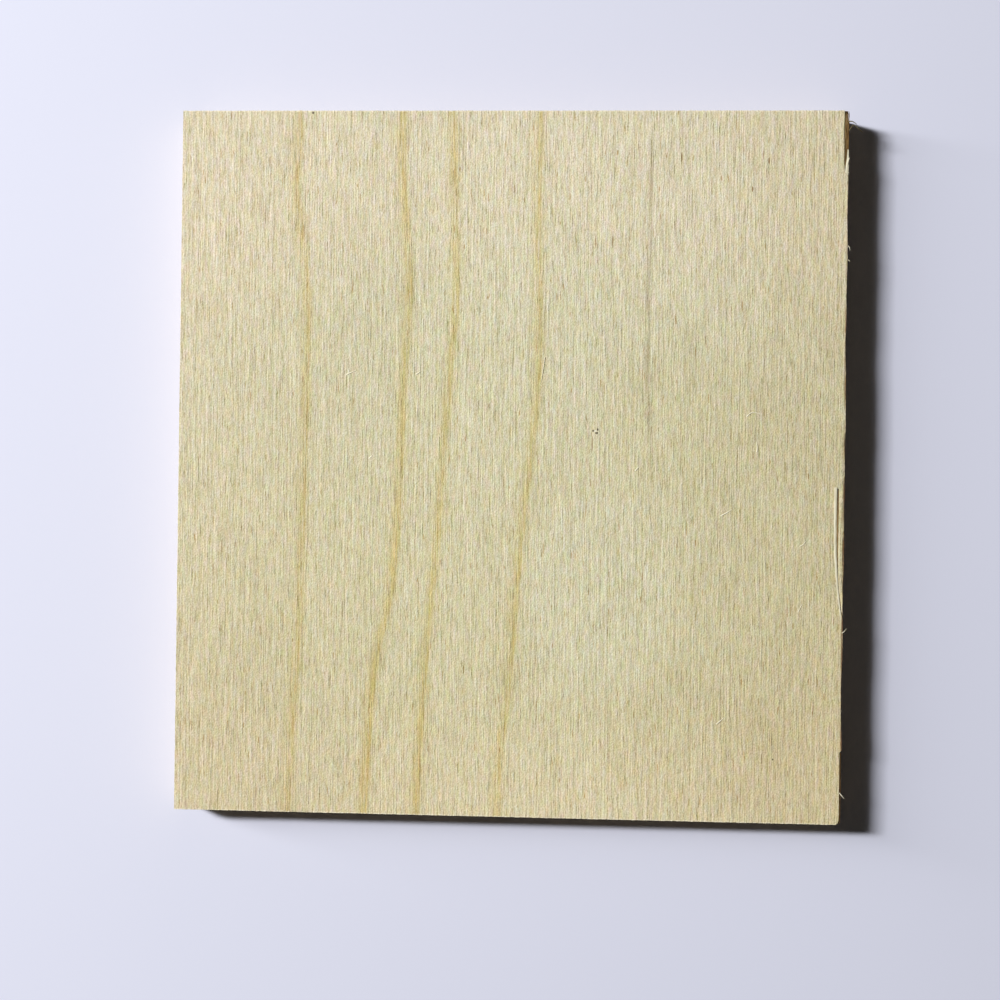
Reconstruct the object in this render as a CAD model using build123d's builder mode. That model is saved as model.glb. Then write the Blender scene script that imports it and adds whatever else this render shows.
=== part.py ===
from build123d import *
import os

os.makedirs("parts", exist_ok=True)

# Offcut of birch plywood, lying flat with its face veneer up, in millimetres.
# X runs across the grain of the face, Y runs along it and Z points up.
# The origin is under the middle of the sheet, on the surface that it lies on.

# Sawn size
width = 150.0
length = 159.0

# Lay-up: an odd number of plies, each with its grain across its neighbours'
ply_count = 9
inner_ply = 1.4
face_ply = 1.1  # the two outer veneers are sanded thinner than the inner plies
thickness = 2 * face_ply + (ply_count - 2) * inner_ply

# Tear-out at the far right corner, where the saw lifted the face veneer off
tear_end_width = 0.9
tear_neck_width = 0.4
tear_neck_from_end = 11.5
tear_length = 14.6

# Broken arris at the near right corner
arris_step = 0.28
arris_length = 16.4
corner_chip = 0.9

# Split in the face veneer: a slot along the grain that runs out to the right edge
split_from_end = 84.2
split_straight = 8.5
split_narrow = 9.4
split_run_out = 9.2
split_inset = 1.1
split_width = 0.42
split_tail_width = 0.14

right = width / 2
far_end = length / 2
near_end = -length / 2


def ply_name(number):
    """Name of a ply, counted from the face veneer down to the back veneer."""
    if number == 1:
        return "face_veneer"
    if number == ply_count:
        return "back_veneer"
    if number % 2 == 0:
        return f"crossband_{number}"
    return f"long_ply_{number}"


def ply_bottom(number):
    """Height of the underside of a ply above the surface under the sheet."""
    if number == ply_count:
        return 0.0
    return thickness - face_ply - (number - 1) * inner_ply


# Face veneer, with the damage that the saw and handling left on its right edge
face_bottom = ply_bottom(1)
split_start = far_end - split_from_end
split_bend = split_start - split_straight
split_turn = split_bend - split_narrow
split_end = split_turn - split_run_out

with BuildPart() as face_veneer:
    with BuildSketch(Plane.XY.offset(face_bottom)):
        Rectangle(width, length)
    extrude(amount=face_ply)

    # Strip torn off the far right corner, down to the crossband
    with BuildSketch(Plane.XY.offset(face_bottom)):
        with BuildLine():
            Polyline(
                (right, far_end),
                (right - tear_end_width, far_end),
                (right - tear_neck_width, far_end - tear_neck_from_end),
                (right, far_end - tear_length),
                close=True,
            )
        make_face()
    extrude(amount=face_ply, mode=Mode.SUBTRACT)

    # Arris broken back at the near right corner, with the corner itself gone
    with BuildSketch(Plane.XY.offset(face_bottom)):
        with BuildLine():
            Polyline(
                (right, near_end),
                (right, near_end + arris_length),
                (right - arris_step, near_end + arris_length - arris_step),
                (right - arris_step, near_end + corner_chip),
                (right - corner_chip, near_end),
                close=True,
            )
        make_face()
    extrude(amount=face_ply, mode=Mode.SUBTRACT)

    # Slot that the lifted splinter left, widest at its blind far end
    with BuildSketch(Plane.XY.offset(face_bottom)):
        with BuildLine():
            Polyline(
                (right - split_inset - split_width, split_start),
                (right - split_inset, split_start),
                (right - split_inset, split_bend),
                (right - split_inset, split_turn),
                (right, split_end),
                (right, split_end - split_tail_width),
                (right - split_inset - split_tail_width, split_turn),
                (right - split_inset - split_width, split_bend),
                close=True,
            )
        make_face()
    extrude(amount=face_ply, mode=Mode.SUBTRACT)

face_veneer.part.label = ply_name(1)
export_step(face_veneer.part, f"parts/{ply_name(1)}.step")

# Inner plies and back veneer, sawn flush with the face veneer
for number in range(2, ply_count + 1):
    ply_thickness = face_ply if number == ply_count else inner_ply
    with BuildPart() as ply:
        with BuildSketch(Plane.XY.offset(ply_bottom(number))):
            Rectangle(width, length)
        extrude(amount=ply_thickness)
    ply.part.label = ply_name(number)
    export_step(ply.part, f"parts/{ply_name(number)}.step")
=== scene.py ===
import math

import bpy
import numpy as np
from mathutils import Matrix, Vector, noise
from mathutils.geometry import delaunay_2d_cdt
from mathutils.kdtree import KDTree


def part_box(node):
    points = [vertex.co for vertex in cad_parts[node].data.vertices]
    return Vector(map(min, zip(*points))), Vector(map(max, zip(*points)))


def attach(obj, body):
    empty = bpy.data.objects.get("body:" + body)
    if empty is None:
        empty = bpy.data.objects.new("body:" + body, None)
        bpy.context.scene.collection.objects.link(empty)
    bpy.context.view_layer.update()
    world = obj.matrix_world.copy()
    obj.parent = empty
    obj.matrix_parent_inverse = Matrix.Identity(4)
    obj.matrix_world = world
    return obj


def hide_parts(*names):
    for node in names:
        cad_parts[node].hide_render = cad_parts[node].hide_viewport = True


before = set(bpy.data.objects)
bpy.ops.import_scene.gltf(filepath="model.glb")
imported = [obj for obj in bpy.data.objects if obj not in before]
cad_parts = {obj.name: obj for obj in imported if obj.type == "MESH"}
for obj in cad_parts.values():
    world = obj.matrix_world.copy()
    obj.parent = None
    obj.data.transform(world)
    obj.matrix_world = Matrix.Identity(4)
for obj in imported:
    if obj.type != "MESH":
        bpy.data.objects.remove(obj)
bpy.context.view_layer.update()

# Offcut of birch plywood, lying flat with its face veneer up.
# Shapes are worked out in millimetres and scaled to metres when a piece is made.
# X runs across the grain of the face, Y runs along it, and Z points up.
MM = 0.001

FACE = "face_veneer"
BACK = "back_veneer"
PLIES = sorted(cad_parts, key=lambda name: -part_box(name)[0].z)


def box_mm(node):
    """Lowest and highest corner of a CAD node in millimetres."""
    low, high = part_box(node)
    return low / MM, high / MM


face_low, face_high = box_mm(FACE)
RIGHT, LEFT = face_high.x, face_low.x
FAR, NEAR = face_high.y, face_low.y
TOP, FACE_BOTTOM = face_high.z, face_low.z
FACE_PLY = TOP - FACE_BOTTOM
INNER_PLY = box_mm(PLIES[1])[1].z - box_mm(PLIES[1])[0].z

# Damage on the right edge of the face veneer, as in the solids
TEAR_LENGTH = 14.6
ARRIS_STEP = 0.28
ARRIS_LENGTH = 16.4
CORNER_CHIP = 0.9
SPLIT_START = FAR - 84.2
SPLIT_BEND = SPLIT_START - 8.5
SPLIT_TURN = SPLIT_BEND - 9.4
SPLIT_END = SPLIT_TURN - 9.2
SPLIT_INSET = 1.1
SPLIT_WIDTH = 0.42

# Finer than in the solids: the torn strip's inner edge, by distance from the far end,
# and where the split runs out, by distance past its turn,
# both with the distance from the right edge
TORN_EDGE = (
    (0.0, 0.88), (2.6, 0.97), (6.1, 1.02), (9.2, 0.94), (12.0, 0.90), (13.8, 0.75),
    (TEAR_LENGTH, 0.0),
)
RUN_OUT = ((2.4, 1.03), (4.7, 0.83), (6.9, 0.5), (9.2, 0.2))
SPLIT_TAIL_WIDTH = 0.2

# How far past the end of the split its outer and inner side meet the right edge
OUTER_MOUTH = 1.2
INNER_MOUTH = 2.2

# How far the saw wandered from a straight right edge: distance from the far end, and outward offset
SAW_WANDER = (
    (14.6, 0.05), (24.0, -0.09), (32.5, 0.10), (41.0, -0.07), (46.0, 0.02), (52.5, -0.18),
    (60.0, 0.08), (71.0, 0.15), (75.0, 0.04), (83.0, 0.06), (85.2, 0.12), (88.5, 0.0), (93.0, 0.06),
    (98.0, 0.14), (102.5, 0.10), (105.0, -0.02), (111.0, -0.04), (112.6, 0.06), (116.0, 0.08),
    (121.0, 0.08), (127.0, -0.13), (135.0, -0.10), (141.0, 0.16), (142.6, 0.16),
)

# Golden lines where growth rings cross the face: (y, x) of points along each,
# and how strong each is
RINGS = (
    ((79.5, -47.9), (69.5, -48.2), (62.5, -48.7), (55.0, -47.5), (42.0, -46.0), (25.0, -45.6),
     (-13.5, -46.2), (-31.5, -46.4), (-52.0, -47.5), (-79.5, -48.8)),
    ((79.5, -24.4), (62.0, -24.1), (49.5, -22.9), (38.0, -22.4), (21.0, -23.3), (-4.0, -24.2),
     (-26.5, -25.5), (-46.5, -29.2), (-62.5, -30.5), (-79.5, -31.3)),
    ((79.5, -12.8), (49.5, -12.1), (36.5, -11.9), (18.5, -13.2), (0.5, -14.5), (-17.5, -15.4),
     (-35.5, -17.0), (-49.5, -18.1), (-79.5, -19.5)),
    ((79.5, 6.8), (49.5, 6.5), (40.0, 6.9), (21.0, 7.0), (5.5, 5.9), (-12.5, 3.9), (-35.0, 2.2),
     (-52.5, 0.9), (-68.0, -0.8), (-79.5, -0.9)),
)
RING_STRENGTHS = (0.75, 1.0, 0.95, 0.85)

# Rings of the back veneer, and a thin greyish line on the face
BACK_RINGS = (
    ((79.5, -58.0), (30.0, -55.0), (-20.0, -56.5), (-79.5, -60.0)),
    ((79.5, -8.0), (40.0, -5.0), (-10.0, -6.0), (-50.0, -9.5), (-79.5, -11.0)),
    ((79.5, 24.0), (20.0, 28.0), (-30.0, 27.0), (-79.5, 31.0)),
)
BACK_RING_STRENGTHS = (0.8, 1.0, 0.9)
GREY_LINE = ((79.5, 31.4), (56.5, 31.4), (37.0, 31.0), (14.5, 31.4), (-3.5, 32.3), (-79.5, 34.0))


def ring_x(ring, y):
    """Place of a ring line across the sheet, at a place along it."""
    ys, xs = zip(*reversed(ring))
    return np.interp(y, ys, xs)


def smooth_noise(x, y, z, size):
    """Perlin noise from -1 to 1, with features of about the given size."""
    return noise.noise(Vector((x / size, y / size, z / size)))


# Outlines

OUTLINE_STEP = 0.3


def densify(corners):
    """Closed outline through the corners, with points no further apart than the outline step."""
    points = []
    for start, end in zip(corners, corners[1:] + corners[:1]):
        pieces = max(1, math.ceil(math.dist(start, end) / OUTLINE_STEP))
        for i in range(pieces):
            t = i / pieces
            points.append((start[0] + t * (end[0] - start[0]), start[1] + t * (end[1] - start[1])))
    return points


def normals(outline):
    """Outward unit normal at each point of an anticlockwise outline."""
    result = []
    for before, after in zip(outline[-1:] + outline[:-1], outline[1:] + outline[:1]):
        along = Vector((after[0] - before[0], after[1] - before[1])).normalized()
        result.append((along.y, -along.x))
    return result


def edge_distance(x, y):
    """Distance of a point from the nearest side of the sheet."""
    return max(0.0, min(RIGHT - x, x - LEFT, FAR - y, y - NEAR))


def rectangle():
    """Plain sawn outline of an inner ply, anticlockwise from the near left corner."""
    return densify([(LEFT, NEAR), (RIGHT, NEAR), (RIGHT, FAR), (LEFT, FAR)])


# Middle of the chipped corner, inwards from the broken arris and along from the near end
CHIP_INWARD = 0.25
CHIP_ALONG = 0.35 * CORNER_CHIP


def face_corners():
    """Corners of the face veneer with its broken arris, split and torn corner, anticlockwise."""
    arris = RIGHT - ARRIS_STEP
    inset = RIGHT - SPLIT_INSET
    run_out = [(RIGHT - inward, SPLIT_TURN - past) for past, inward in RUN_OUT]
    tail = [(x - SPLIT_TAIL_WIDTH, y) for x, y in reversed(run_out)]
    torn = [(RIGHT - inward, FAR - from_end) for from_end, inward in reversed(TORN_EDGE)]
    return [
        (LEFT, NEAR),
        (RIGHT - CORNER_CHIP, NEAR),
        (arris - CHIP_INWARD, NEAR + CHIP_ALONG),
        (arris, NEAR + CORNER_CHIP),
        (arris, NEAR + ARRIS_LENGTH - ARRIS_STEP),
        (RIGHT, NEAR + ARRIS_LENGTH),
        (RIGHT, SPLIT_END - INNER_MOUTH),
        *tail,
        (inset - SPLIT_TAIL_WIDTH, SPLIT_TURN),
        (inset - SPLIT_WIDTH, SPLIT_BEND),
        (inset - SPLIT_WIDTH, SPLIT_START),
        (inset, SPLIT_START),
        (inset, SPLIT_BEND),
        (inset, SPLIT_TURN),
        *run_out,
        (RIGHT, SPLIT_END - OUTER_MOUTH),
        *torn,
        (LEFT, FAR),
    ]


# Roughness of the outline: height, layer of the noise and size of its features
OUTLINE_ROUGHNESS = ((0.05, 4.7, 0.7), (0.03, 9.1, 0.3))

# How far in from a side the sawn roughness fades out, and the share of it that is left further in
SAWN_REACH = 0.9
TORN_ROUGHNESS = 0.2


def face_outline():
    """Outline of the face veneer, rough where it was sawn, with the saw's wander on its right."""
    wander_from, wander_by = zip(*SAW_WANDER)
    points = densify(face_corners())
    result = []
    for (x, y), (nx, ny) in zip(points, normals(points)):
        sawn = max(0.0, 1 - edge_distance(x, y) / SAWN_REACH)
        rough = sum(height * smooth_noise(x, y, layer, size)
                    for height, layer, size in OUTLINE_ROUGHNESS)
        rough *= TORN_ROUGHNESS + (1 - TORN_ROUGHNESS) * sawn
        if RIGHT - x < SAWN_REACH and NEAR + ARRIS_LENGTH < y < FAR - TEAR_LENGTH:
            x += sawn * np.interp(FAR - y, wander_from, wander_by)
        result.append((x + rough * nx, y + rough * ny))
    return result


# Relief

RIDGE_HEIGHT = 0.02
RIDGE_WIDTH = 0.7
FIBRE_RELIEF = 0.012
WAVE_RELIEF = 0.03


def grain_wave(x, y, layer, across, along):
    """Perlin noise from -1 to 1, with features of across by along millimetres."""
    return noise.noise(Vector((x / across, y / along, layer)))


def face_relief(x, y):
    """Height of the sanded face above its mean plane: raised grain, ring ridges and slow waves."""
    fibres = grain_wave(x, y, 2.0, 0.9, 9.0)
    waves = grain_wave(x, y, 5.0, 14.0, 45.0)
    ridge = max(math.exp(-((x - ring_x(ring, y)) / RIDGE_WIDTH) ** 2) for ring in RINGS)
    return FIBRE_RELIEF * fibres + WAVE_RELIEF * waves + RIDGE_HEIGHT * ridge


def back_relief(x, y):
    """Height of the sanded back below its mean plane."""
    fibres = grain_wave(x, y, 22.0, 1.1, 10.0)
    waves = grain_wave(x, y, 25.0, 17.0, 50.0)
    return FIBRE_RELIEF * fibres + WAVE_RELIEF * waves


def no_relief(x, y):
    """Height of a side that lies against another ply."""
    return 0.0


# Tooth marks on the sawn edges: height, how much the place through the thickness counts, and size
TOOTH_MARKS = ((0.03, 0.12, 0.8), (0.012, 0.3, 0.35))

# Fray of the sawn edges: outward offset, height, layer of the noise and size
END_GRAIN_FRAY = (-0.03, 0.03, 31.0, 0.28)
LONG_GRAIN_FRAY = (0.03, 0.008, 57.0, 0.5)


def sawn_offset(x, y, z, end_grain):
    """Outward offset of a sawn edge: tooth marks across all plies, and fray, most on end grain."""
    teeth = sum(height * smooth_noise(x, y, z * lean, size) for height, lean, size in TOOTH_MARKS)
    offset, height, layer, size = END_GRAIN_FRAY if end_grain else LONG_GRAIN_FRAY
    return teeth + offset + height * smooth_noise(x, y, z + layer, size)


# Meshes

# Angles in degrees above which an edge is shaded sharp
PLY_SHARP_ANGLE = 40
STRAND_SHARP_ANGLE = 60


def new_piece(name, vertices, faces, sharp_angle):
    """Object made of vertices in millimetres, shaded smooth but for its sharp edges."""
    mesh = bpy.data.meshes.new(name)
    mesh.from_pydata([Vector(v) * MM for v in vertices], [], faces)
    mesh.validate()
    mesh.shade_smooth()
    mesh.set_sharp_from_angle(angle=math.radians(sharp_angle))
    piece = bpy.data.objects.new(name, mesh)
    bpy.context.scene.collection.objects.link(piece)
    return piece


# How far a grid point may stray, as a share of the grid's step,
# and its least distance from the outline
STRAY_X = 0.2
STRAY_Y = 0.4
GRID_CLEARANCE = 0.22


def inner_grid(outline, step_x, step_y, seed):
    """Slightly scattered grid points inside the sheet, none of them too near the outline."""
    tree = KDTree(len(outline))
    for i, (x, y) in enumerate(outline):
        tree.insert((x, y, 0), i)
    tree.balance()
    rng = np.random.default_rng(seed)
    points = []
    for y in np.arange(NEAR + step_y / 2, FAR, step_y):
        for x in np.arange(LEFT + step_x / 2, RIGHT, step_x):
            px = x + rng.uniform(-STRAY_X, STRAY_X) * step_x
            py = y + rng.uniform(-STRAY_Y, STRAY_Y) * step_y
            if tree.find((px, py, 0))[2] > GRID_CLEARANCE:
                points.append((px, py))
    return points


def fill(outline, inner):
    """Triangles, anticlockwise, over the outline's points and then the inner ones."""
    count = len(outline)
    points = [Vector(p) for p in list(outline) + list(inner)]
    edges = [(i, (i + 1) % count) for i in range(count)]
    _, _, faces, origins, _, _ = delaunay_2d_cdt(points, edges, [], 1, 1e-6)
    return [tuple(origins[i][0] for i in face) for face in faces]


def is_end_grain(x, y, grain):
    """Whether the sawn edge at a point of the outline cuts across the grain."""
    on_end = min(FAR - y, y - NEAR) < min(RIGHT - x, x - LEFT)
    return on_end == (grain == "Y")


# Size of the small arris on every ply, and rows of vertices between its top and bottom arris
ARRIS = 0.05
WALL_ROWS = 5


def wall(outline, top, depth, grain, top_relief, low_relief):
    """Vertices and faces of a ply's sawn edges, in rows of outline points from the top down."""
    middle = [ARRIS + (depth - 2 * ARRIS) * i / (WALL_ROWS - 1) for i in range(WALL_ROWS)]
    outward = normals(outline)
    vertices = []
    for level in (0.0, *middle, depth):
        for (x, y), (nx, ny) in zip(outline, outward):
            z = top - level
            shift = sawn_offset(x, y, z, is_end_grain(x, y, grain))
            if level in (0.0, depth):
                shift -= ARRIS
            if level == 0.0:
                z += top_relief(x, y)
            if level == depth:
                z -= low_relief(x, y)
            vertices.append((x + shift * nx, y + shift * ny, z))
    count = len(outline)
    faces = []
    for upper in range(0, len(vertices) - count, count):
        lower = upper + count
        for i in range(count):
            j = (i + 1) % count
            faces.append((upper + i, lower + i, lower + j, upper + j))
    return vertices, faces


def add_cap(vertices, faces, outline, points, first, level, relief, side):
    """Closes a ply's top, or with side -1 its bottom, at the row of vertices from first on."""
    count = len(outline)
    base = len(vertices)
    vertices += [(x, y, level + side * relief(x, y)) for x, y in points]
    for face in fill(outline, points):
        corners = tuple(first + i if i < count else base + i - count for i in face)
        faces.append(corners[::side])


def ply(name, outline, top_points=(), top_relief=no_relief, low_points=(), low_relief=no_relief):
    """One ply as a closed mesh that stands for its CAD node."""
    low, high = box_mm(name)
    vertices, faces = wall(outline, high.z, high.z - low.z, grain_of(name), top_relief, low_relief)
    last_row = len(vertices) - len(outline)
    add_cap(vertices, faces, outline, top_points, 0, high.z, top_relief, 1)
    add_cap(vertices, faces, outline, low_points, last_row, low.z, low_relief, -1)
    piece = new_piece(name + "_wood", vertices, faces, PLY_SHARP_ANGLE)
    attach(piece, "root")
    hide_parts(name)
    return piece


def grain_of(name):
    """Axis that a ply's grain runs along."""
    return "X" if name.startswith("crossband") else "Y"


def build_plies():
    """All plies, with the worn face on top."""
    pieces = {}
    for name in PLIES:
        if name == FACE:
            outline = face_outline()
            grid = inner_grid(outline, 0.5, 1.25, seed=3)
            pieces[name] = ply(name, outline, top_points=grid, top_relief=face_relief)
        elif name == BACK:
            outline = rectangle()
            grid = inner_grid(outline, 0.9, 2.2, seed=4)
            pieces[name] = ply(name, outline, low_points=grid, low_relief=back_relief)
        else:
            pieces[name] = ply(name, rectangle())
    return pieces


# Loose wood: slivers, torn fibres, whiskers, flakes and fuzz


def smooth_path(points, steps):
    """Catmull-Rom curve through the points."""
    points = [Vector(p) for p in points]
    padded = [2 * points[0] - points[1]] + points + [2 * points[-1] - points[-2]]
    path = []
    for a, b, c, d in zip(padded, padded[1:], padded[2:], padded[3:]):
        for i in range(steps):
            t = i / steps
            path.append(0.5 * (2 * b + (c - a) * t + (2 * a - 5 * b + 4 * c - d) * t * t
                               + (3 * b - a - 3 * c + d) * t ** 3))
    return path + [points[-1]]


# Above 1, a strand keeps its width at first and tapers most near its end
TAPER_POWER = 1.5


def strand(path, width, height, sides, end):
    """Vertices and faces of an oval strand that tapers along its path to a share of its size."""
    vertices, faces = [], []
    last = len(path) - 1
    for i, point in enumerate(path):
        along = (path[min(i + 1, last)] - path[max(i - 1, 0)]).normalized()
        across = along.cross(Vector((0, 0, 1)))
        across = across.normalized() if across.length > 1e-6 else Vector((1, 0, 0))
        up = across.cross(along)
        size = 1 + (end - 1) * (i / last) ** TAPER_POWER
        for k in range(sides):
            turn = 2 * math.pi * k / sides
            vertices.append(point + across * (0.5 * width * size * math.cos(turn))
                            + up * (0.5 * height * size * math.sin(turn)))
    for i in range(last):
        for k in range(sides):
            m = (k + 1) % sides
            faces.append((i * sides + k, i * sides + m, (i + 1) * sides + m, (i + 1) * sides + k))
    faces.append(tuple(range(sides))[::-1])
    faces.append(tuple(last * sides + k for k in range(sides)))
    return vertices, faces


def joined(name, parts):
    """One object out of several lists of vertices and faces."""
    vertices, faces = [], []
    for part_vertices, part_faces in parts:
        base = len(vertices)
        vertices += part_vertices
        faces += [tuple(base + i for i in face) for face in part_faces]
    piece = new_piece(name, vertices, faces, STRAND_SHARP_ANGLE)
    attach(piece, "root")
    return piece


def build_slivers():
    """Slivers of the face veneer: one sprung from the split, and one left below the torn corner."""
    sprung = smooth_path([
        (RIGHT - 1.84, SPLIT_START + 0.3, TOP + 0.06),
        (RIGHT - 1.85, SPLIT_START - 4.0, TOP + 0.04),
        (RIGHT - 1.86, SPLIT_BEND - 0.6, TOP - 0.05),
        (RIGHT - 1.84, SPLIT_BEND - 2.2, TOP + 0.01),
        (RIGHT - 1.76, SPLIT_BEND - 6.0, TOP + 0.03),
        (RIGHT - 1.54, SPLIT_TURN, TOP + 0.04),
        (RIGHT - 1.38, SPLIT_TURN - 2.4, TOP + 0.03),
        (RIGHT - 1.13, SPLIT_TURN - 4.7, TOP + 0.01),
        (RIGHT - 0.86, SPLIT_TURN - 6.9, TOP),
        (RIGHT - 0.58, SPLIT_END, TOP - 0.02),
        (RIGHT - 0.36, SPLIT_END - 2.4, TOP - 0.04),
    ], 10)
    left_over = smooth_path([
        (RIGHT - 0.38, FAR - TEAR_LENGTH - 0.2, TOP - 0.12),
        (RIGHT - 0.28, FAR - 13.3, TOP - 0.08),
        (RIGHT - 0.18, FAR - 11.9, TOP - 0.08),
        (RIGHT - 0.10, FAR - 10.5, TOP - 0.12),
        (RIGHT - 0.06, FAR - 8.7, TOP - 0.20),
    ], 6)
    return joined("slivers", [strand(sprung, 0.66, 0.16, 10, 0.4),
                              strand(left_over, 0.80, 0.16, 10, 0.3)])


def torn_edge(y):
    """Inner edge of the torn strip."""
    from_end, inward = zip(*TORN_EDGE)
    return RIGHT - np.interp(FAR - y, from_end, inward)


def split_outer(y):
    """Outer side of the split."""
    past, inward = zip((0.0, SPLIT_INSET), *RUN_OUT)
    return RIGHT - np.interp(SPLIT_TURN - y, past, inward)


def split_inner(y):
    """Inner side of the split."""
    return split_outer(y) - np.interp(y, (SPLIT_TURN, SPLIT_BEND), (SPLIT_TAIL_WIDTH, SPLIT_WIDTH))


def straight_edge(x):
    """Edge that keeps to one place across the sheet."""
    return lambda y: x


# Torn fibres: length as a share of their gap, sway, width and height, how low their two ends lie,
# and the share of their size that is left at the end
FIBRE_SHARE = (0.12, 0.4)
FIBRE_SWAY = 0.05
FIBRE_WIDTH = (0.12, 0.24)
FIBRE_HEIGHT = 0.14
FIBRE_DIPS = (0.08, 0.05)
FIBRE_END = 0.5


def torn_bundle(rng, count, near, far, inner_edge, outer_edge, deepest, highest, fall):
    """Torn fibres that fill a gap in the veneer, lower by the fall at its outer edge."""
    parts = []
    for _ in range(count):
        length = rng.uniform(*FIBRE_SHARE) * (far - near)
        start = rng.uniform(near, far - length)
        middle = start + length / 2
        t = rng.uniform(0.05, 0.95)
        x = inner_edge(middle) + t * (outer_edge(middle) - inner_edge(middle))
        z = rng.uniform(TOP - deepest, TOP - highest) - fall * t
        sway = rng.uniform(-FIBRE_SWAY, FIBRE_SWAY)
        path = smooth_path([
            (x - sway, start, z - FIBRE_DIPS[0]),
            (x, middle, z),
            (x + sway, start + length, z - FIBRE_DIPS[1]),
        ], 5)
        parts.append(strand(path, rng.uniform(*FIBRE_WIDTH), FIBRE_HEIGHT, 6, FIBRE_END))
    return parts


def build_torn_fibres():
    """What the saw left of the veneer in the torn corner, the split and the broken near corner."""
    rng = np.random.default_rng(7)
    tear_outer = straight_edge(RIGHT + 0.15)
    arris_inner = straight_edge(RIGHT - ARRIS_STEP)
    arris_outer = straight_edge(RIGHT + 0.04)
    # For each bundle: how many fibres, its near and far end, its inner and outer edge,
    # how deep its lowest and highest fibres lie, and its fall
    bundles = (
        (130, FAR - TEAR_LENGTH, FAR - 0.1, torn_edge, tear_outer, 0.40, 0.10, 0.35),
        (40, FAR - 3.5, FAR - 0.05, torn_edge, tear_outer, 0.40, 0.15, 0.3),
        (120, SPLIT_TURN, SPLIT_START - 0.1, split_inner, split_outer, 0.17, 0.06, 0.0),
        (40, SPLIT_END, SPLIT_TURN, split_inner, split_outer, 0.2, 0.08, 0.0),
        (60, NEAR + 0.2, NEAR + ARRIS_LENGTH, arris_inner, arris_outer, 0.3, 0.1, 0.2),
    )
    return joined("torn_fibres", [part for bundle in bundles for part in torn_bundle(rng, *bundle)])


# Points of each loose fibre or flake, with its width and thickness
WHISKERS = (
    (((74.9, 77.1, 11.5), (75.8, 77.0, 11.9), (76.8, 76.3, 12.1)), 0.30, 0.18),
    (((75.1, 75.0, 11.5), (75.7, 75.9, 11.9), (76.1, 76.2, 12.0), (77.2, 75.3, 12.1),
      (78.0, 74.6, 11.9)), 0.28, 0.16),
)
LOOSE = (
    (((74.66, 66.8, 11.98), (74.72, 67.5, 12.09), (74.92, 68.3, 12.12),
      (75.2, 68.9, 11.98)), 0.52, 0.10),
    (((74.9, -36.8, 12.0), (75.4, -36.4, 12.1), (75.9, -35.7, 12.2)), 0.16, 0.08),
    (((74.8, -72.3, 11.9), (75.3, -72.9, 12.1), (75.9, -73.6, 12.1)), 0.18, 0.08),
    (((75.2, 49.4, 11.8), (75.5, 48.9, 12.0), (75.6, 48.3, 12.0)), 0.14, 0.08),
    (((75.2, 46.3, 11.8), (75.6, 45.9, 12.0)), 0.14, 0.08),
    (((53.2, 11.1, 12.02), (54.1, 11.9, 12.07), (54.9, 12.1, 12.09),
      (56.7, 11.6, 12.04)), 0.26, 0.09),
    (((55.6, 3.2, 12.03), (55.7, 4.3, 12.08), (55.5, 5.5, 12.04)), 0.34, 0.10),
    (((47.8, -11.1, 12.03), (49.2, -10.3, 12.08), (50.3, -9.6, 12.04)), 0.26, 0.09),
    (((65.3, -17.7, 12.03), (66.1, -17.2, 12.07), (66.8, -16.4, 12.04)), 0.22, 0.08),
    (((65.2, -32.3, 12.03), (65.6, -31.4, 12.08), (66.1, -30.4, 12.04)), 0.26, 0.08),
    (((28.6, -1.3, 12.03), (29.0, -0.8, 12.09), (29.5, -0.4, 12.04)), 0.34, 0.10),
    (((47.4, -57.6, 12.03), (48.2, -56.9, 12.09), (49.2, -56.0, 12.04)), 0.30, 0.08),
    (((-36.9, 19.7, 12.03), (-35.9, 20.15, 12.09), (-34.7, 20.65, 12.03)), 0.30, 0.10),
    (((-21.1, 19.9, 12.03), (-20.5, 20.2, 12.10), (-19.9, 20.7, 12.03)), 0.28, 0.10),
    (((-31.4, 0.8, 12.03), (-30.6, 1.6, 12.06)), 0.28, 0.08),
    (((-20.6, 14.2, 12.02), (-20.62, 12.3, 12.05), (-20.7, 10.4, 12.02)), 0.30, 0.08),
    (((8.05, 24.0, 12.12), (7.6, 20.6, 12.12), (7.1, 17.5, 12.02)), 0.18, 0.12),
)


# Share of its size that a loose strand keeps at its tip
LOOSE_END = 0.3


def build_strands(name, strands):
    """Fibres and flakes, each along its own curve, as one piece."""
    return joined(name, [strand(smooth_path(points, 6), width, height, 6, LOOSE_END)
                         for points, width, height in strands])


# Fuzz on the sawn edges: how much on each, its lowest root and how deep it is rooted,
# then its reach out of the edge, its run along it, its lift, its width and its height,
# and the shares of the reach, run and lift that it has made by its middle
FUZZ_PER_SIDE = {"right": 150, "left": 60, "near": 110, "far": 90}
FUZZ_LOWEST = 0.4
FUZZ_ROOT = 0.1
FUZZ_REACH = (0.08, 0.3)
FUZZ_RUN = (-0.6, 0.6)
FUZZ_LIFT = (-0.2, 0.25)
FUZZ_WIDTH = (0.04, 0.09)
FUZZ_HEIGHT = 0.05
FUZZ_MIDDLE = (0.7, 0.5, 0.4)


def fuzz_place(rng, side):
    """Random place on a sawn edge, and the directions out of the edge and along it."""
    sign = 1 if side in ("right", "far") else -1
    if side in ("right", "left"):
        place = Vector((sign * RIGHT, rng.uniform(NEAR, FAR), rng.uniform(FUZZ_LOWEST, TOP)))
        return place, Vector((sign, 0, 0)), Vector((0, 1, 0))
    place = Vector((rng.uniform(LEFT, RIGHT), sign * FAR, rng.uniform(FUZZ_LOWEST, TOP)))
    return place, Vector((0, sign, 0)), Vector((1, 0, 0))


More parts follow.
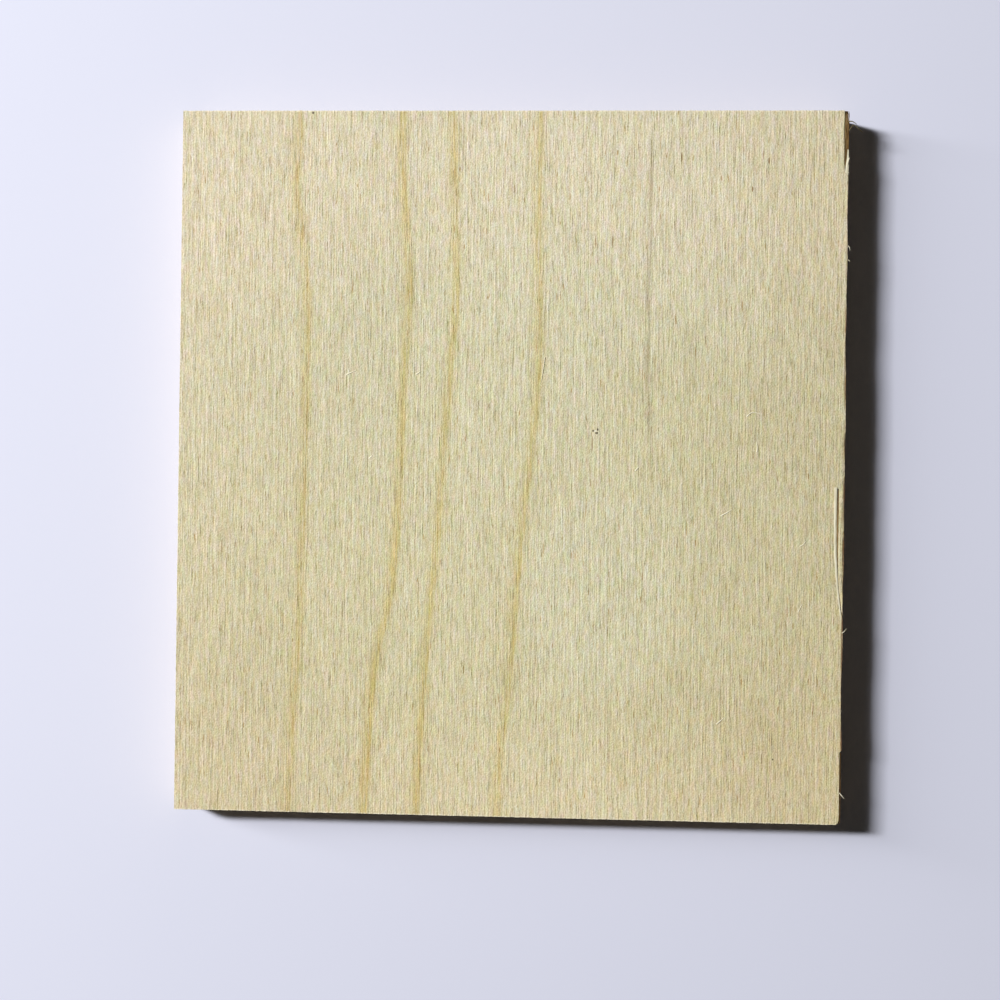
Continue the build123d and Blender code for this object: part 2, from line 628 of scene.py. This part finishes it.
def build_fuzz():
    """Short fibres that the saw left standing along the sawn edges."""
    rng = np.random.default_rng(11)
    parts = []
    for side, count in FUZZ_PER_SIDE.items():
        for _ in range(count):
            place, out, along = fuzz_place(rng, side)
            reach = rng.uniform(*FUZZ_REACH)
            run = rng.uniform(*FUZZ_RUN)
            lift = rng.uniform(*FUZZ_LIFT)
            out_share, along_share, lift_share = FUZZ_MIDDLE
            middle = (place + out * reach * out_share + along * run * along_share
                      + Vector((0, 0, lift * lift_share)))
            tip = place + out * reach + along * run + Vector((0, 0, lift))
            path = smooth_path([place - out * FUZZ_ROOT, middle, tip], 3)
            parts.append(strand(path, rng.uniform(*FUZZ_WIDTH), FUZZ_HEIGHT, 5, LOOSE_END))
    return joined("edge_fuzz", parts)


# Materials


def linear(*srgb):
    """Linear colour of an sRGB colour given from 0 to 255."""
    return tuple(
        c / 255 / 12.92 if c <= 10 else ((c / 255 + 0.055) / 1.055) ** 2.4 for c in srgb
    ) + (1.0,)


# Turns the noise's own lattice away from the sheet's axes, so that its rows don't show
LATTICE_TURN = (0.6, 0.7, 0.5)

# Where a soft spot starts to fade and is gone, as the square of its radius
SPOT_CORE = 0.35
SPOT_RIM = 1.3

# Gloss of all wood, then the roughness and the bump in millimetres of its three kinds of surface
WOOD_SPECULAR = 0.25
SANDED_ROUGHNESS = (0.78, 0.62)
SANDED_BUMP = 0.18
SAWN_ROUGHNESS = 0.8
SAWN_BUMP = 0.10
FIBRE_ROUGHNESS = 0.75
FIBRE_BUMP = 0.05


class Wood:
    """A node material, with short ways to add the nodes that wood needs."""

    def __init__(self, name, grain="Y"):
        """Starts the material, and finds the place on the sheet in millimetres."""
        self.material = bpy.data.materials.new(name)
        self.material.use_nodes = True
        self.nodes = self.material.node_tree.nodes
        self.links = self.material.node_tree.links
        self.shader = self.nodes["Principled BSDF"]
        self.grain = grain
        self.position = self.nodes.new("ShaderNodeTexCoord").outputs["Object"]
        separate = self.nodes.new("ShaderNodeSeparateXYZ")
        self.links.new(self.position, separate.inputs[0])
        self.x, self.y, self.z = (self.math("DIVIDE", axis, MM) for axis in separate.outputs)

    def wire(self, value, socket):
        """Links an output to a socket, or sets the socket to a number or a colour."""
        if isinstance(value, bpy.types.NodeSocket):
            self.links.new(value, socket)
        else:
            socket.default_value = value

    def math(self, operation, a, b=0.0):
        """Result of a math node."""
        node = self.nodes.new("ShaderNodeMath")
        node.operation = operation
        self.wire(a, node.inputs[0])
        self.wire(b, node.inputs[1])
        return node.outputs[0]

    def grain_noise(self, across, along, seed, detail=1.0):
        """Noise with features of across by along millimetres, drawn out along the grain."""
        sizes = {"X": (along, across, across), "Y": (across, along, across)}[self.grain]
        return self.sized_noise(sizes, seed, detail)

    def cut_noise(self, across, through, seed):
        """Noise on a cut across the grain, drawn out through the thickness of the ply."""
        return self.sized_noise((across, across, through), seed, 0.0)

    def sized_noise(self, sizes, seed, detail):
        """Noise with features of the given sizes in millimetres."""
        mapping = self.nodes.new("ShaderNodeMapping")
        mapping.inputs["Scale"].default_value = [1 / (MM * size) for size in sizes]
        mapping.inputs["Rotation"].default_value = LATTICE_TURN
        mapping.inputs["Location"].default_value = (seed * 3.7, seed * 5.3, seed * 7.9)
        self.links.new(self.position, mapping.inputs["Vector"])
        texture = self.nodes.new("ShaderNodeTexNoise")
        texture.inputs["Scale"].default_value = 1.0
        texture.inputs["Detail"].default_value = detail
        self.links.new(mapping.outputs[0], texture.inputs["Vector"])
        return texture.outputs["Fac"]

    def step(self, value, start, end, low=0.0, high=1.0):
        """Smooth step of a value, from low at start to high at end."""
        node = self.nodes.new("ShaderNodeMapRange")
        node.interpolation_type = "SMOOTHSTEP"
        self.wire(value, node.inputs["Value"])
        limits = {"From Min": start, "From Max": end, "To Min": low, "To Max": high}
        for name, number in limits.items():
            node.inputs[name].default_value = number
        return node.outputs[0]

    def ramp(self, value, stops):
        """Colour ramp through (place, sRGB colour) stops."""
        node = self.nodes.new("ShaderNodeValToRGB")
        elements = node.color_ramp.elements
        while len(elements) < len(stops):
            elements.new(0.5)
        for element, (place, colour) in zip(elements, stops):
            element.position = place
            element.color = linear(*colour)
        self.wire(value, node.inputs[0])
        return node.outputs[0]

    def mix(self, amount, a, b, blend="MIX"):
        """Mix of two colours."""
        node = self.nodes.new("ShaderNodeMix")
        node.data_type = "RGBA"
        node.blend_type = blend
        self.wire(amount, node.inputs[0])
        self.wire(a, node.inputs[6])
        self.wire(b, node.inputs[7])
        return node.outputs[2]

    def tint(self, value, strength, direction):
        """Colour factor near white that a noise moves along a direction in red, green and blue."""
        combine = self.nodes.new("ShaderNodeCombineColor")
        for channel, part in enumerate(direction):
            self.wire(self.total([(value, strength * part)], 1.0), combine.inputs[channel])
        return combine.outputs[0]

    def total(self, parts, base=0.5):
        """Base plus each noise's swing about its middle, times its weight."""
        result = base
        for value, weight in parts:
            swing = self.math("MULTIPLY", self.math("SUBTRACT", value, 0.5), weight)
            result = self.math("ADD", swing, result)
        return result

    def offset_from(self, ring):
        """Distance across the sheet from a ring line, positive on its right."""
        curve = self.nodes.new("ShaderNodeFloatCurve")
        spline = curve.mapping.curves[0]
        pairs = sorted(((y - NEAR) / (FAR - NEAR), (x - LEFT) / (RIGHT - LEFT)) for y, x in ring)
        spline.points[0].location = pairs[0]
        spline.points[1].location = pairs[-1]
        for pair in pairs[1:-1]:
            spline.points.new(*pair)
        curve.mapping.update()
        along = self.math("DIVIDE", self.math("SUBTRACT", self.y, NEAR), FAR - NEAR)
        self.wire(along, curve.inputs["Value"])
        place = self.math("ADD", self.math("MULTIPLY", curve.outputs[0], RIGHT - LEFT), LEFT)
        return self.math("SUBTRACT", self.x, place)

    def band(self, offset, start, full, end, gone):
        """1 between two offsets, fading in before them and out after them."""
        fade_out = self.step(offset, end, gone, 1.0, 0.0)
        return self.math("MULTIPLY", self.step(offset, start, full), fade_out)

    def spot(self, x, y, radius_x, radius_y):
        """Soft spot of the given radii, 1 at its middle."""
        dx = self.math("DIVIDE", self.math("SUBTRACT", self.x, x), radius_x)
        dy = self.math("DIVIDE", self.math("SUBTRACT", self.y, y), radius_y)
        squared = self.math("ADD", self.math("MULTIPLY", dx, dx), self.math("MULTIPLY", dy, dy))
        return self.step(squared, SPOT_CORE, SPOT_RIM, 1.0, 0.0)

    def times(self, amount, colour, factor):
        """Colour multiplied by a factor, as far as the amount says."""
        return self.mix(amount, colour, factor, "MULTIPLY")

    def largest(self, values):
        """Largest of several values."""
        result = values[0]
        for value in values[1:]:
            result = self.math("MAXIMUM", result, value)
        return result

    def finish(self, colour, height, roughness, depth):
        """Wires up colour, roughness and a bump of the given depth in millimetres."""
        self.wire(colour, self.shader.inputs["Base Color"])
        self.wire(roughness, self.shader.inputs["Roughness"])
        self.shader.inputs["Specular IOR Level"].default_value = WOOD_SPECULAR
        bump = self.nodes.new("ShaderNodeBump")
        bump.inputs["Strength"].default_value = 1.0
        bump.inputs["Distance"].default_value = depth * MM
        self.wire(height, bump.inputs["Height"])
        self.links.new(bump.outputs[0], self.shader.inputs["Normal"])
        return self.material


GLUE_REACH = 0.09
GLUE_BROWN = linear(98, 64, 30)
END_GRAIN_DEPTH = 0.3
SANDED_ARRIS = 0.12


def glue_lines(wood):
    """1 at the glue between two plies, fading out a little way into the wood on either side."""
    height = wood.math("SUBTRACT", wood.z, FACE_PLY)
    distance = wood.math("PINGPONG", height, INNER_PLY / 2)
    near_glue = wood.step(distance, 0.0, GLUE_REACH, 1.0, 0.0)
    from_middle = wood.math("ABSOLUTE", wood.math("SUBTRACT", wood.z, TOP / 2))
    inside = wood.math("LESS_THAN", from_middle, TOP / 2 - FACE_PLY + GLUE_REACH)
    return wood.math("MULTIPLY", near_glue, inside)


def end_grain(wood):
    """1 on the two sawn edges that cut across the grain, fading out at the face and the back."""
    if wood.grain == "Y":
        distance = wood.math("SUBTRACT", FAR, wood.math("ABSOLUTE", wood.y))
    else:
        distance = wood.math("SUBTRACT", RIGHT, wood.math("ABSOLUTE", wood.x))
    edge = wood.step(distance, END_GRAIN_DEPTH / 2, END_GRAIN_DEPTH, 1.0, 0.0)
    from_middle = wood.math("ABSOLUTE", wood.math("SUBTRACT", wood.z, TOP / 2))
    inside = wood.step(from_middle, TOP / 2 - SANDED_ARRIS, TOP / 2, 1.0, 0.0)
    return wood.math("MULTIPLY", edge, inside)


BIRCH_TONES = (
    (0.0, (158, 144, 98)), (0.25, (184, 171, 130)), (0.5, (210, 198, 161)), (0.75, (235, 223, 191)),
    (1.0, (254, 246, 221)),
)

# Noises in the tone of sanded veneer: size across and along the grain, detail and weight
GRAIN_LAYERS = (
    (0.30, 14.0, 0.0, 0.32), (0.32, 4.5, 0.0, 0.27), (0.34, 1.5, 0.0, 0.15),
    (0.32, 0.34, 0.0, 0.40), (1.5, 7.0, 2.0, 0.03), (16.0, 45.0, 1.0, 0.05),
)
MEAN_TONE = 0.51
VESSEL_DEPTH = 0.21

# Hue changes from fibre to fibre: strength, and direction in red, green and blue
WARMTH = (0.46, (0.12, 0.12, -1.0))
PINKNESS = (0.34, (0.6, -0.3, 0.0))

# Where the parts of a ring line fade in and out, by distance across the sheet from the line
RING_BAND = (-2.4, -0.5, 0.2, 0.9)
RING_HALO = (-3.2, -1.0, 0.4, 1.8)
RING_RIM = (-0.7, -0.25, 0.1, 0.6)
HALO_STRENGTH = 0.35

# The same across the grey line, and along it
GREY_ACROSS = (-0.8, -0.3, 0.3, 0.7)
GREY_ALONG = (-25, 30, 68, 76)

RING_GOLD = (0.90, 0.83, 0.58, 1.0)
RING_EDGE = (0.94, 0.88, 0.76, 1.0)
DASH_BROWN = (0.66, 0.52, 0.36, 1.0)
END_SHADE = (0.72, 0.61, 0.46, 1.0)
GREY_SHADE = (0.74, 0.70, 0.66, 1.0)
BACK_SHADE = (0.98, 0.95, 0.89, 1.0)
SPECK_BROWN = linear(70, 60, 42)
PIT_BROWN = linear(132, 96, 54)
FLECK_WHITE = linear(246, 243, 226)
FRAY_PALE = linear(240, 231, 205)
# Colour of the right rim: saw browning together with painted shade along the edge
RIM_BROWN_AND_SHADE = linear(104, 66, 38)

# Broad patches of the face that are paler or darker, each with its place, radii and tint,
# then the tints towards its far end and its two sides, with the places that these fade between.
# The far-end tint is painted light, paler and bluer; the right-side tint is warmer wood and partly
# painted shade
PATCHES = (
    ((0, -8, 110, 62), (0.925, 0.955, 0.93, 1.0)),
    ((18, -5, 50, 100), (1.045, 1.05, 1.06, 1.0)),
    ((74, -30, 34, 80), (0.965, 0.955, 0.94, 1.0)),
    ((-66, -70, 34, 34), (0.95, 0.955, 0.95, 1.0)),
    ((20, -30, 17, 24), (1.02, 1.04, 1.085, 1.0)),
    ((43, -62, 24, 17), (0.965, 0.955, 0.93, 1.0)),
    ((40, 10, 22, 20), (0.972, 0.965, 0.93, 1.0)),
)
PAINTED_FAR_LIGHT = (1.0, 1.03, 1.13, 1.0)
RIGHT_WARMTH_AND_SHADE = (1.0, 0.985, 0.955, 1.0)
RIGHT_FADE = (38, 70)
LEFT_TINT = (1.0, 0.98, 0.985, 1.0)
LEFT_FADE = (-72, -20)

# Dark specks, brown pits and a white fleck on the face, each with its place and radii
SPECKS = (
    (19.1, 7.6, 0.24, 0.28), (20.1, 7.9, 0.25, 0.32), (19.9, 7.1, 0.36, 0.28),
    (60.0, -65.2, 0.17, 0.24), (-45.2, 79.0, 0.3, 0.36),
)
PITS = (
    (57.5, 68.2, 0.20, 0.8), (53.9, 61.9, 0.18, 0.7), (38.1, 69.0, 0.18, 1.2),
    (18.9, 4.6, 0.12, 2.0), (19.1, 50.0, 0.12, 1.7), (22.9, 50.0, 0.09, 1.6),
)
FLECK = (19.55, 7.55, 0.2, 0.26)
SPECK_STRENGTH = 0.85


def veneer_tone(wood, seed):
    """Tone of sanded veneer: fibres of several lengths, darker in the vessel lines."""
    layers = [(wood.grain_noise(across, along, seed + number, detail), weight)
              for number, (across, along, detail, weight) in enumerate(GRAIN_LAYERS, 1)]
    tone = wood.total(layers, MEAN_TONE)
    vessels = wood.step(wood.grain_noise(0.22, 3.2, seed + 7, detail=0.0), 0.68, 0.78)
    return wood.math("SUBTRACT", tone, wood.math("MULTIPLY", vessels, VESSEL_DEPTH))


def add_rings(wood, colour, rings, strengths, seed):
    """Golden band on the left of each ring line, with a faint halo and a broken darker edge."""
    offsets = [wood.offset_from(ring) for ring in rings]
    bands = wood.largest([wood.math("MULTIPLY", wood.band(offset, *RING_BAND), strength)
                          for offset, strength in zip(offsets, strengths)])
    streaks = wood.step(wood.grain_noise(0.45, 14.0, seed + 10), 0.3, 0.62, 0.45, 1.0)
    bands = wood.math("MULTIPLY", bands, streaks)
    halos = wood.largest([wood.band(offset, *RING_HALO) for offset in offsets])
    bands = wood.math("MAXIMUM", bands, wood.math("MULTIPLY", halos, HALO_STRENGTH))
    colour = wood.times(bands, colour, RING_GOLD)
    edges = wood.largest([wood.band(offset, *RING_RIM) for offset in offsets])
    broken = wood.step(wood.grain_noise(0.35, 6.0, seed + 11), 0.45, 0.62)
    return wood.times(wood.math("MULTIPLY", edges, broken), colour, RING_EDGE)


def sanded_veneer(name, rings, strengths, seed):
    """Sanded, unfinished rotary-cut birch, with its colour and tone still to be wired up."""
    wood = Wood(name)
    tone = veneer_tone(wood, seed)
    colour = wood.ramp(tone, BIRCH_TONES)
    warmth = wood.grain_noise(0.8, 2.6, seed + 8)
    pinkness = wood.grain_noise(0.8, 2.4, seed + 9)
    colour = wood.times(1.0, colour, wood.tint(warmth, *WARMTH))
    colour = wood.times(1.0, colour, wood.tint(pinkness, *PINKNESS))
    colour = add_rings(wood, colour, rings, strengths, seed)
    dashes = wood.step(wood.grain_noise(0.26, 2.8, seed + 12, detail=0.0), 0.76, 0.82)
    return wood, wood.times(dashes, colour, DASH_BROWN), tone


def finish_veneer(wood, colour, tone):
    """Shades the sawn edges of a veneer and wires it up."""
    colour = wood.times(end_grain(wood), colour, END_SHADE)
    colour = wood.mix(wood.math("MULTIPLY", glue_lines(wood), 0.8), colour, GLUE_BROWN)
    return wood.finish(colour, tone, wood.step(tone, 0.2, 0.8, *SANDED_ROUGHNESS), SANDED_BUMP)


def add_patches(wood, colour):
    """Slow changes of colour over the face, which painted light makes palest at its far end, with
    warmer wood and painted shade on its right.
    """
    for place, shade in PATCHES:
        colour = wood.times(wood.spot(*place), colour, shade)
    # Painted light: paler and bluer towards the far end; towards the right, warmer wood with
    # painted shade
    colour = wood.times(wood.step(wood.y, NEAR, FAR), colour, PAINTED_FAR_LIGHT)
    colour = wood.times(wood.step(wood.x, *RIGHT_FADE), colour, RIGHT_WARMTH_AND_SHADE)
    return wood.times(wood.step(wood.x, *LEFT_FADE, 1.0, 0.0), colour, LEFT_TINT)


def add_grey_line(wood, colour):
    """Thin greyish line, streaked along the grain, that fades out towards both its ends."""
    grey = wood.band(wood.offset_from(GREY_LINE), *GREY_ACROSS)
    streaks = wood.step(wood.grain_noise(0.35, 12.0, 12), 0.32, 0.6, 0.2, 1.0)
    grey = wood.math("MULTIPLY", grey, streaks)
    grey = wood.math("MULTIPLY", grey, wood.band(wood.y, *GREY_ALONG))
    return wood.times(grey, colour, GREY_SHADE)


def add_specks(wood, colour):
    """Dark specks, brown pits and a white fleck."""
    for places, shade in ((SPECKS, SPECK_BROWN), (PITS, PIT_BROWN)):
        spots = wood.largest([wood.spot(*place) for place in places])
        colour = wood.mix(wood.math("MULTIPLY", spots, SPECK_STRENGTH), colour, shade)
    return wood.mix(wood.spot(*FLECK), colour, FLECK_WHITE)


def fray_ends(wood, colour):
    """Pale frayed fibres along the two sawn ends."""
    fringe = wood.grain_noise(0.4, 0.5, 13)
    ends = wood.step(wood.math("SUBTRACT", FAR, wood.math("ABSOLUTE", wood.y)), 0.1, 0.4, 1.0, 0.0)
    ends = wood.math("MULTIPLY", ends, wood.step(fringe, 0.35, 0.6, 0.1, 0.9))
    return wood.mix(ends, colour, FRAY_PALE)


def browned_and_shaded_rim(wood, colour):
    """Right edge, browned by the saw in patches and darkened with painted shade where it meets its
    shadow.
    """
    rim = wood.step(wood.math("SUBTRACT", RIGHT, wood.x), 0.05, 0.45, 1.0, 0.0)
    patches = wood.step(wood.grain_noise(1.2, 9.0, 14), 0.40, 0.62, 0.1, 0.9)
    return wood.mix(wood.math("MULTIPLY", rim, patches), colour, RIM_BROWN_AND_SHADE)


def face_material():
    """Face veneer: painted paler at its far end, with specks, frayed pale ends, and a right edge
    browned by the saw and darkened with painted shade.
    """
    wood, colour, tone = sanded_veneer("birch_face", RINGS, RING_STRENGTHS, 0)
    for change in (add_patches, add_grey_line, add_specks, fray_ends, browned_and_shaded_rim):
        colour = change(wood, colour)
    return finish_veneer(wood, colour, tone)


def back_material():
    """Back veneer, cut from another part of the log."""
    wood, colour, tone = sanded_veneer("birch_back", BACK_RINGS, BACK_RING_STRENGTHS, 40)
    return finish_veneer(wood, wood.times(1.0, colour, BACK_SHADE), tone)


CHECK_SHADE = (0.50, 0.42, 0.34, 1.0)
SCORCH_SHADE = (0.80, 0.68, 0.52, 1.0)


def ply_material(name, grain, stops):
    """Sawn edge of an inner ply: streaked along its grain, darker across it, browned by glue."""
    wood = Wood(name, grain)
    fibres = wood.grain_noise(0.30, 6.0, 61, detail=2.0)
    pores = wood.grain_noise(0.16, 2.5, 62, detail=1.0)
    slow = wood.grain_noise(2.5, 30.0, 63, detail=2.0)
    checks = wood.step(wood.cut_noise(0.28, 1.3, 66), 0.60, 0.70)
    cut = end_grain(wood)
    tone = wood.total([(fibres, 0.7), (pores, 0.5), (slow, 0.8)])
    colour = wood.times(cut, wood.ramp(tone, stops), END_SHADE)
    colour = wood.times(wood.math("MULTIPLY", cut, checks), colour, CHECK_SHADE)
    scorch = wood.step(wood.grain_noise(5.0, 12.0, 64, detail=2.0), 0.45, 0.75, 0.0, 0.6)
    colour = wood.times(scorch, colour, SCORCH_SHADE)
    patchy = wood.step(wood.grain_noise(0.5, 1.5, 65, detail=2.0), 0.25, 0.6, 0.5, 1.0)
    colour = wood.mix(wood.math("MULTIPLY", glue_lines(wood), patchy), colour, GLUE_BROWN)
    return wood.finish(colour, tone, SAWN_ROUGHNESS, SAWN_BUMP)


def streaked_wood(name, stops):
    """Torn wood, streaked along its fibres."""
    wood = Wood(name)
    fibres = wood.grain_noise(0.10, 1.2, 71, detail=2.0)
    patches = wood.grain_noise(0.5, 2.5, 72, detail=1.0)
    tone = wood.total([(fibres, 0.8), (patches, 0.9)])
    return wood, wood.ramp(tone, stops), tone


def fibre_material(name, stops):
    """Loose fibres of one kind."""
    wood, colour, tone = streaked_wood(name, stops)
    return wood.finish(colour, tone, FIBRE_ROUGHNESS, FIBRE_BUMP)


TORN_RED = (0.84, 0.74, 0.60, 1.0)
# Painted shade deep in the blind end of the split
BLIND_END_SHADOW = (0.72, 0.68, 0.62, 1.0)


def torn_material():
    """Fibres in torn places: redder near the sawn edge, with painted shade at the deep blind end of
    the split.
    """
    wood, colour, tone = streaked_wood("torn_birch_brown", BROWN_TONES)
    colour = wood.times(wood.step(wood.x, RIGHT - 0.6, RIGHT - 0.2), colour, TORN_RED)
    # Painted shade: darker at the blind end of the split, where the gap is deepest
    blind = wood.band(wood.y, SPLIT_START - 9, SPLIT_START - 3, SPLIT_START, SPLIT_START + 2)
    colour = wood.times(blind, colour, BLIND_END_SHADOW)
    return wood.finish(colour, tone, FIBRE_ROUGHNESS, FIBRE_BUMP)


LONG_TONES = ((0.0, (158, 132, 92)), (0.5, (210, 192, 150)), (1.0, (235, 222, 188)))
CROSS_TONES = ((0.0, (150, 121, 80)), (0.5, (205, 184, 140)), (1.0, (232, 216, 179)))
PALE_TONES = ((0.0, (204, 192, 154)), (0.5, (236, 229, 202)), (1.0, (252, 248, 230)))
# Pale tones of the slivers: fresh torn wood, with a painted highlight where a raised lip would
# catch the light
SLIVER_TONES_AND_HIGHLIGHT = ((0.0, (188, 178, 144)), (0.5, (217, 210, 183)), (1.0, (238, 233, 212)))
BROWN_TONES = (
    (0.0, (88, 60, 30)), (0.4, (132, 104, 62)), (0.7, (154, 130, 88)), (1.0, (186, 164, 124)),
)
# Tones of the whiskers: brown wood, made darker than the other loose fibres with painted shade
DARK_SHADED_WHISKER_TONES = ((0.0, (58, 52, 32)), (0.5, (90, 82, 54)), (1.0, (150, 142, 112)))


def paint(pieces):
    """Gives every ply, the loose wood and the hidden CAD nodes their materials."""
    long_ply = ply_material("birch_long_grain", "Y", LONG_TONES)
    crossband = ply_material("birch_cross_grain", "X", CROSS_TONES)
    pale = fibre_material("torn_birch_pale", PALE_TONES)
    special = {
        FACE: face_material(),
        BACK: back_material(),
        "slivers": fibre_material("sliver_birch_and_highlight", SLIVER_TONES_AND_HIGHLIGHT),
        "loose_fibres": pale,
        "edge_fuzz": pale,
        "torn_fibres": torn_material(),
        "whiskers": fibre_material("torn_birch_dark_and_shaded", DARK_SHADED_WHISKER_TONES),
    }
    for name, piece in pieces.items():
        material = special.get(name, crossband if grain_of(name) == "X" else long_ply)
        piece.data.materials.append(material)
        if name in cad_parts:
            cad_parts[name].data.materials.clear()
            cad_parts[name].data.materials.append(material)


# Stage, lights and camera

FACE_CENTRE = Vector((0, 0, TOP)) * MM
FLOOR_HALF = 0.7
FLOOR_COLOUR = linear(213, 215, 231)
FLOOR_ROUGHNESS = 0.9
BACKDROP_COLOUR = linear(226, 227, 240)
FILL_COLOUR = (0.030, 0.028, 0.024, 1.0)

# Lamps: name, direction from the face, distance and two sides in metres, and power in watts
LAMPS = (
    ("key", (-9.5, 3.4, 12.0), 2.0, (0.45, 0.14), 38),
    ("broad", (-14.0, 4.6, 10.0), 1.3, (1.3, 0.15), 9.8),
)


def floor_material():
    """Plain pale paint."""
    material = bpy.data.materials.new("pale_floor")
    material.use_nodes = True
    shader = material.node_tree.nodes["Principled BSDF"]
    shader.inputs["Base Color"].default_value = FLOOR_COLOUR
    shader.inputs["Roughness"].default_value = FLOOR_ROUGHNESS
    return material


def build_floor():
    """Pale lavender-white floor."""
    half = FLOOR_HALF
    corners = [(-half, -half, 0), (half, -half, 0), (half, half, 0), (-half, half, 0)]
    mesh = bpy.data.meshes.new("floor")
    mesh.from_pydata(corners, [], [(0, 1, 2, 3)])
    floor = bpy.data.objects.new("floor", mesh)
    bpy.context.scene.collection.objects.link(floor)
    mesh.materials.append(floor_material())


def area_lamp(name, direction, distance, sides, watts):
    """Lamp aimed at the middle of the face from a direction, its first side in the XZ plane."""
    data = bpy.data.lights.new(name, "AREA")
    data.shape = "RECTANGLE"
    data.size, data.size_y = sides
    data.energy = watts
    lamp = bpy.data.objects.new(name, data)
    bpy.context.scene.collection.objects.link(lamp)
    back = Vector(direction).normalized()
    side = Vector((0, 1, 0)).cross(back).normalized()
    up = back.cross(side)
    turn = Matrix((side, up, back)).transposed().to_4x4()
    lamp.matrix_world = Matrix.Translation(FACE_CENTRE + back * distance) @ turn


def build_lights():
    """A small key lamp and a broad one from the left, a faint even fill, and a pale backdrop."""
    for lamp in LAMPS:
        area_lamp(*lamp)
    world = bpy.data.worlds.new("studio")
    bpy.context.scene.world = world
    world.use_nodes = True
    nodes, links = world.node_tree.nodes, world.node_tree.links
    path = nodes.new("ShaderNodeLightPath")
    colour = nodes.new("ShaderNodeMix")
    colour.data_type = "RGBA"
    links.new(path.outputs["Is Camera Ray"], colour.inputs[0])
    colour.inputs[6].default_value = FILL_COLOUR
    colour.inputs[7].default_value = BACKDROP_COLOUR
    links.new(colour.outputs[2], nodes["Background"].inputs["Color"])


# The camera looks straight down on the face, turned a little so that the right side is nearer,
# with its place in millimetres and its angles in degrees
LENS_ANGLE = 30.0
CAMERA_DISTANCE = 419.7
CAMERA_YAW = -3.73
CAMERA_PITCH = -0.07
CAMERA_ROLL = -0.76
AIM_X = 1.735
AIM_Y = 8.17


def build_camera():
    """Camera above the face, with depth of field off."""
    data = bpy.data.cameras.new("camera")
    data.sensor_fit = "HORIZONTAL"
    data.angle = math.radians(LENS_ANGLE)
    camera = bpy.data.objects.new("camera", data)
    bpy.context.scene.collection.objects.link(camera)
    turn = (Matrix.Rotation(math.radians(CAMERA_ROLL), 4, "Z")
            @ Matrix.Rotation(math.radians(CAMERA_PITCH), 4, "X")
            @ Matrix.Rotation(math.radians(CAMERA_YAW), 4, "Y"))
    aim = Matrix.Translation(Vector((AIM_X, AIM_Y, -CAMERA_DISTANCE)) * MM)
    camera.matrix_world = Matrix.Translation(FACE_CENTRE) @ (aim @ turn).inverted()
    bpy.context.scene.camera = camera


build_camera()
build_floor()
build_lights()
pieces = build_plies()
pieces["slivers"] = build_slivers()
pieces["torn_fibres"] = build_torn_fibres()
pieces["whiskers"] = build_strands("whiskers", WHISKERS)
pieces["loose_fibres"] = build_strands("loose_fibres", LOOSE)
pieces["edge_fuzz"] = build_fuzz()
paint(pieces)
bpy.context.scene.view_settings.view_transform = "Standard"
